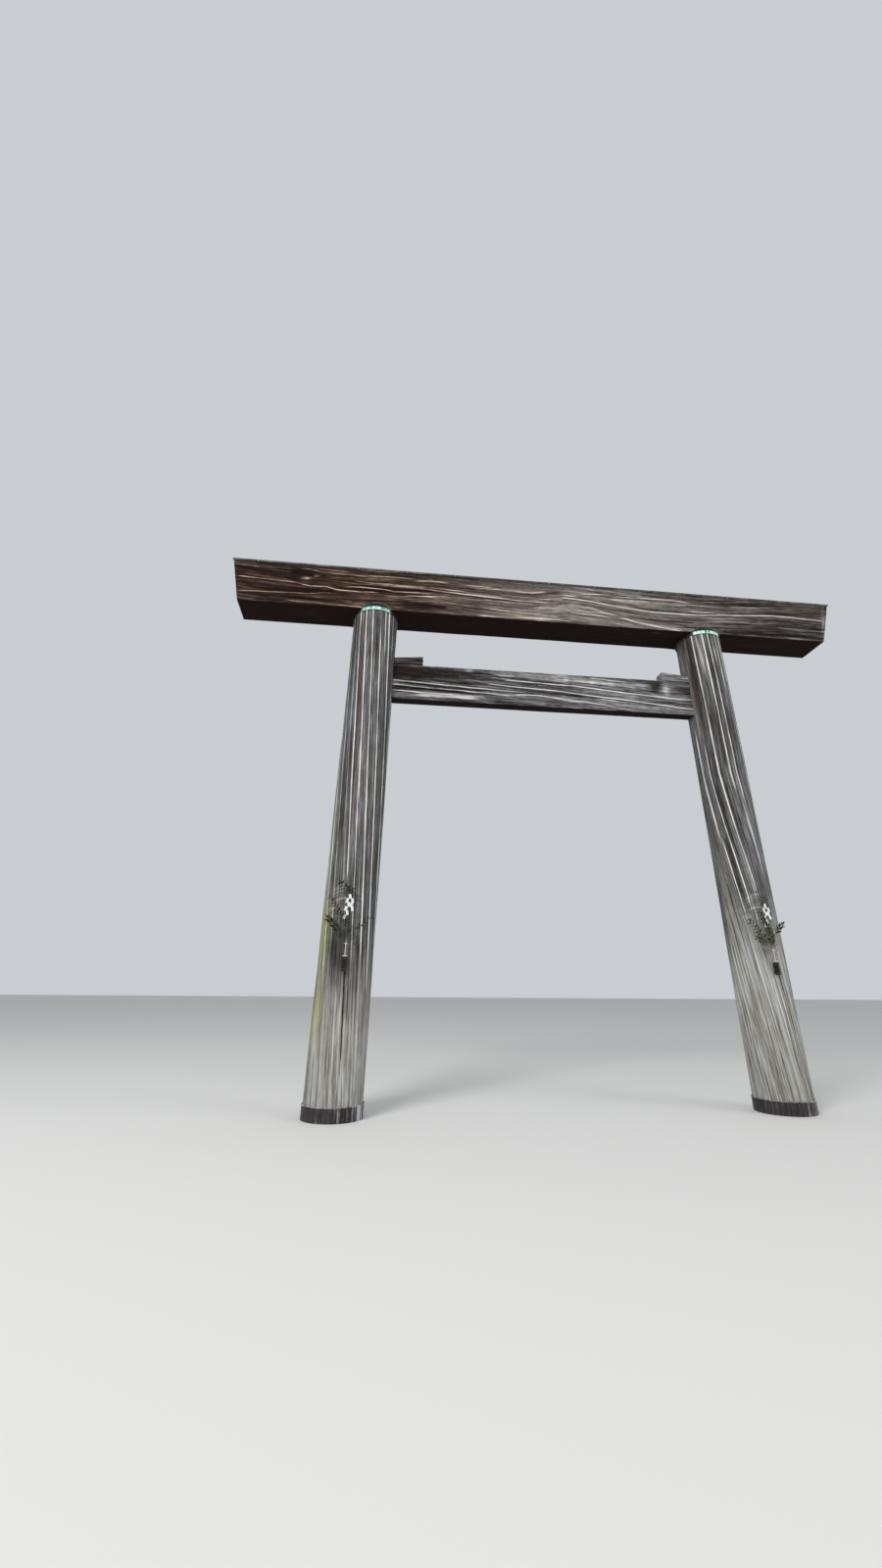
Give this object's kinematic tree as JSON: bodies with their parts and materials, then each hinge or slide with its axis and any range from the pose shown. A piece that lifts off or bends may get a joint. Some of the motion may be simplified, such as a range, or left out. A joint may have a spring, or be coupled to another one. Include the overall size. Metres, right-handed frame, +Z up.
{
  "type": "torii gate",
  "caption": "Shrine gate of round leaning timber columns, a five-sided top beam under sheet copper, a wedged tie beam, copper collars and sprig holders with paper streamers.",
  "frame": {"origin": "on the ground, midway between the centres of the column feet", "axes": "+X along the gate towards its right column, +Y towards its back, +Z up; the front faces -Y"},
  "size_m": [11.9554, 1.1284, 9.491],
  "materials": {
    "column_timber": "weathered unpainted cypress, grey with pale raised grain and dark checks",
    "beam_timber": "weathered unpainted cypress, brown to grey with long raised grain",
    "tie_timber": "weathered unpainted cypress, dark grey with fine grain",
    "roof_copper": "old sheet copper, dark brown with grey-green bloom",
    "collar_copper": "sheet copper with pale green patina",
    "foot_copper": "old sheet copper, dark purple-brown with pale streaks",
    "holder_black": "blackened bamboo, satin",
    "holder_white": "white band, matt",
    "bracket_iron": "black iron, matt",
    "branch": "thin bark, brown-green",
    "leaf": "glossy evergreen leaf",
    "white_paper": "white paper, matt"
  },
  "bodies": {
    "root": {"top_beam": "beam_timber", "tie_beam": "tie_timber", "beam_cover_front": "roof_copper", "beam_cover_rear": "roof_copper", "beam_cover_ridge": "roof_copper", "left_column": "column_timber", "left_wedge": "tie_timber", "left_neck_band": "collar_copper", "left_neck_flashing": "collar_copper", "left_base_sleeve": "foot_copper", "left_holder_tube": "holder_black", "left_holder_rim": "holder_white", "left_holder_bracket": "bracket_iron", "left_sprig_stem": "branch", "left_sprig_leaves": "leaf", "left_sprig_tie": "white_paper", "left_paper_streamer": "white_paper", "right_column": "column_timber", "right_wedge": "tie_timber", "right_neck_band": "collar_copper", "right_neck_flashing": "collar_copper", "right_base_sleeve": "foot_copper", "right_holder_tube": "holder_black", "right_holder_rim": "holder_white", "right_holder_bracket": "bracket_iron", "right_sprig_stem": "branch", "right_sprig_leaves": "leaf", "right_sprig_tie": "white_paper", "right_paper_streamer": "white_paper"}
  },
  "joints": []
}
